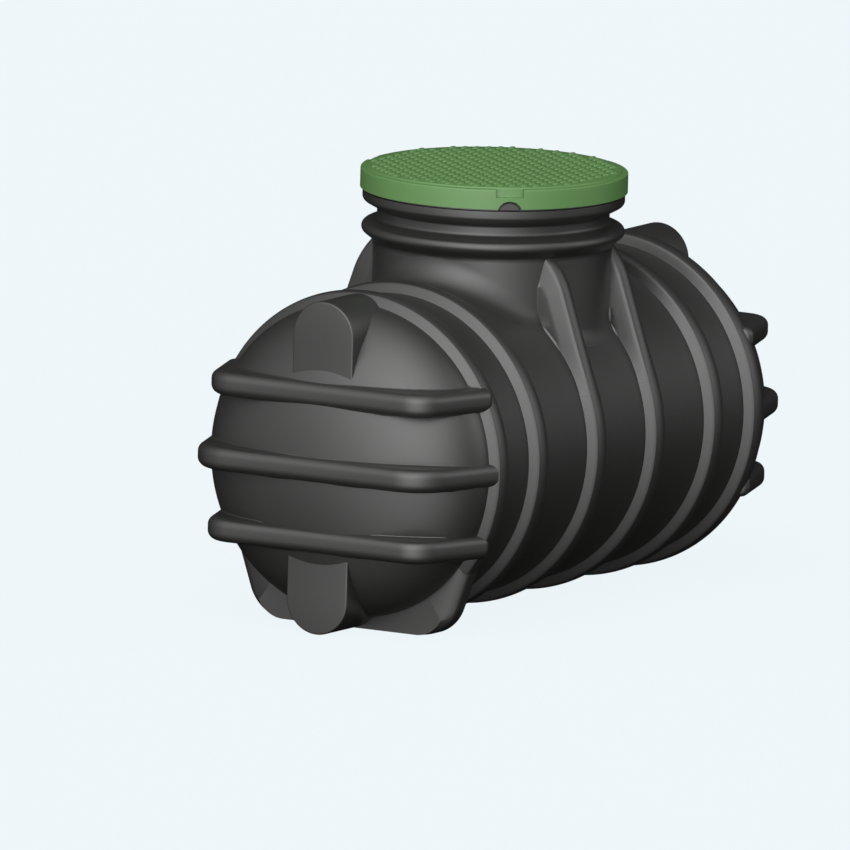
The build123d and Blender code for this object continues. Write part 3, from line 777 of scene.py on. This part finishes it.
# raised lens pattern of the lid: each lens is a low dome between two arcs, in staggered rows
def makeTread():
    settings = dict(length=38 * mm, width=19 * mm, pitchAcross=51.4 * mm, pitchAlong=40.4 * mm,
                    height=5.5 * mm, margin=6 * mm, steps=9, lanes=7, rowReach=24,
                    columnReach=26, lengthShare=0.3, sunk=0.2 * mm, buried=0.6 * mm)
    reach = lid["crownRadius"] - settings["margin"] - settings["length"] * settings["lengthShare"]
    halfRow = settings["pitchAlong"] / 2
    spots = []
    for row in range(-settings["rowReach"], settings["rowReach"] + 1):
        shift = settings["pitchAcross"] / 2 * (row % 2)
        for column in range(-settings["columnReach"], settings["columnReach"] + 1):
            spot = (column * settings["pitchAcross"] + shift, row * halfRow)
            if math.hypot(*spot) < reach:
                spots.append(spot)
    spots = np.array(spots)
    u = np.linspace(-1, 1, settings["steps"])[:, None]
    v = np.linspace(-1, 1, settings["lanes"])[None, :]
    along = u * settings["length"] / 2 + 0 * v
    across = v * settings["width"] / 2 * (1 - u**2)
    height = settings["height"] * (1 - v**2) * (1 - u**2) ** 0.5 - settings["sunk"]
    lens = np.stack([across, along, lid["crownTop"] + height], axis=-1).reshape(-1, 3)
    under = lens.copy()
    under[:, 2] = lid["crownTop"] - settings["buried"]
    template = np.concatenate([lens, under])
    top = np.array(gridFaces(settings["steps"], settings["lanes"]))
    rim = openEdges(top)
    edge = np.stack([rim[:, 1], rim[:, 0], rim[:, 0] + len(lens), rim[:, 1] + len(lens)], axis=-1)
    templateFaces = np.concatenate([top, top[:, ::-1] + len(lens), edge])
    points = template[None] + np.concatenate([spots, np.zeros((len(spots), 1))], axis=1)[:, None]
    faces = templateFaces[None] + (np.arange(len(spots)) * len(template))[:, None, None]
    points, faces = points.reshape(-1, 3), faces.reshape(-1, 4)
    piece = putMesh("lidTread", points, faces, greenPlastic, 60)
    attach(piece, "lid")


makeLid()
makeTread()
print("lid made")


# camera: parallel view turned by azimuth, elevation and roll, with the middle of the barrel at the pixel
# (axisX, axisY)
def makeCamera():
    settings = dict(azimuth=31.0, elevation=9.15, roll=-1.45, distance=12.0, clipEnd=100,  # degrees, metres
                    size=850, scale=366.2, axisX=487.9, axisY=427.6)  # pixels; scale is pixels per metre
    azimuth, elevation, roll = (math.radians(settings[k]) for k in ("azimuth", "elevation", "roll"))
    right = Vector((math.cos(azimuth), math.sin(azimuth), 0))
    level = math.cos(elevation)
    forward = Vector((-math.sin(azimuth) * level, math.cos(azimuth) * level, -math.sin(elevation)))
    up = right.cross(forward)
    turnedRight = right * math.cos(roll) - up * math.sin(roll)
    turnedUp = turnedRight.cross(forward)
    half = settings["size"] / 2
    aim = Vector((0, 0, tank["axis"]))
    aim -= turnedRight * (settings["axisX"] - half) / settings["scale"]
    aim += turnedUp * (settings["axisY"] - half) / settings["scale"]
    data = bpy.data.cameras.new("photoCamera")
    data.type = "ORTHO"
    data.ortho_scale = settings["size"] / settings["scale"]
    data.clip_end = settings["clipEnd"]
    camera = bpy.data.objects.new("photoCamera", data)
    rotation = Matrix((turnedRight, turnedUp, -forward)).transposed()
    camera.matrix_world = Matrix.Translation(aim - forward * settings["distance"]) @ rotation.to_4x4()
    bpy.context.collection.objects.link(camera)
    bpy.context.scene.camera = camera


makeCamera()
print("camera placed")

paleBackground = (0.871, 0.939, 0.965)


# floor: pale to the camera, and left out of reflections, in which the photo shows no pale ground
def makeStage():
    settings = dict(size=60.0, below=0.5 * mm, glow=0.93, brightness=1.02, paint=0.6, roughness=0.9)
    bpy.ops.mesh.primitive_plane_add(size=settings["size"], location=(0, 0, -settings["below"]))
    floor = bpy.context.object
    floor.name = "floor"
    material, tree, shader = newMaterial("floorPaint")
    shader.inputs["Base Color"].default_value = (*[c * settings["paint"] for c in paleBackground], 1)
    shader.inputs["Roughness"].default_value = settings["roughness"]
    shader.inputs["Specular IOR Level"].default_value = 0
    glow = tree.nodes.new("ShaderNodeEmission")
    glow.inputs["Color"].default_value = (*paleBackground, 1)
    glow.inputs["Strength"].default_value = settings["brightness"]
    ray = tree.nodes.new("ShaderNodeLightPath")
    blend = tree.nodes.new("ShaderNodeMixShader")
    strength = tree.nodes.new("ShaderNodeMath")
    strength.operation = "MULTIPLY"
    strength.inputs[1].default_value = settings["glow"]
    link(tree, ray, "Is Camera Ray", strength, 0)
    link(tree, strength, 0, blend, "Fac")
    link(tree, shader, 0, blend, 1)
    link(tree, glow, 0, blend, 2)
    link(tree, blend, 0, tree.nodes["Material Output"], "Surface")
    floor.data.materials.append(material)
    floor.visible_glossy = False
    floor.visible_diffuse = False


# surroundings: soft round lobes on a dark room, each gain * exp(tightness * (cosine to its middle - 1));
# turn is in degrees from the front end towards the right side, rise in degrees above the horizon
def makeWorld():
    lobes = (
        dict(turn=15, rise=40, tightness=3, gain=2.3),  # broad key light
        dict(turn=20, rise=20, tightness=8, gain=0.8),  # front, on neck and ring flanks
        dict(turn=20, rise=-10, tightness=8, gain=0.9),  # low front, for upright walls
        dict(turn=120, rise=20, tightness=16, gain=1.3),  # narrow strip behind the right side
        dict(turn=-60, rise=5, tightness=10, gain=0.3),  # weak fill on the left
    )
    world = bpy.data.worlds.new("studio")
    bpy.context.scene.world = world
    world.use_nodes = True
    tree = world.node_tree
    place = tree.nodes.new("ShaderNodeTexCoord")
    total = None
    for lobe in lobes:
        turn, rise = math.radians(lobe["turn"]), math.radians(lobe["rise"])
        middle = (math.cos(rise) * math.sin(turn), -math.cos(rise) * math.cos(turn), math.sin(rise))
        cosine = tree.nodes.new("ShaderNodeVectorMath")
        cosine.operation = "DOT_PRODUCT"
        cosine.inputs[1].default_value = middle
        link(tree, place, "Generated", cosine, 0)
        fall = mathNode(tree, "MULTIPLY_ADD", lobe["tightness"], -lobe["tightness"])
        link(tree, cosine, "Value", fall, 0)
        soft = mathNode(tree, "EXPONENT")
        link(tree, fall, 0, soft, 0)
        strength = mathNode(tree, "MULTIPLY_ADD", lobe["gain"], 0)
        link(tree, soft, 0, strength, 0)
        if total:
            link(tree, total, 0, strength, 2)
        total = strength
    ray = tree.nodes.new("ShaderNodeLightPath")
    mix = tree.nodes.new("ShaderNodeMix")
    mix.data_type = "RGBA"
    mix.inputs[7].default_value = (*paleBackground, 1)
    link(tree, total, 0, mix, 6)
    link(tree, ray, "Is Camera Ray", mix, "Factor")
    link(tree, mix, 2, tree.nodes["Background"], "Color")


# math node with its second and third values set; its first is linked where it is used
def mathNode(tree, operation, second=None, third=None):
    node = tree.nodes.new("ShaderNodeMath")
    node.operation = operation
    for socket, value in ((1, second), (2, third)):
        if value is not None:
            node.inputs[socket].default_value = value
    return node


makeStage()
makeWorld()
print("stage lit")

for node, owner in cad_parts.items():  # hidden nodes get their finish too
    material = greenPlastic if node == "lid" else blackPlastic
    for holder in owner.material_slots:
        holder.material = material
bpy.context.scene.view_settings.view_transform = "Standard"
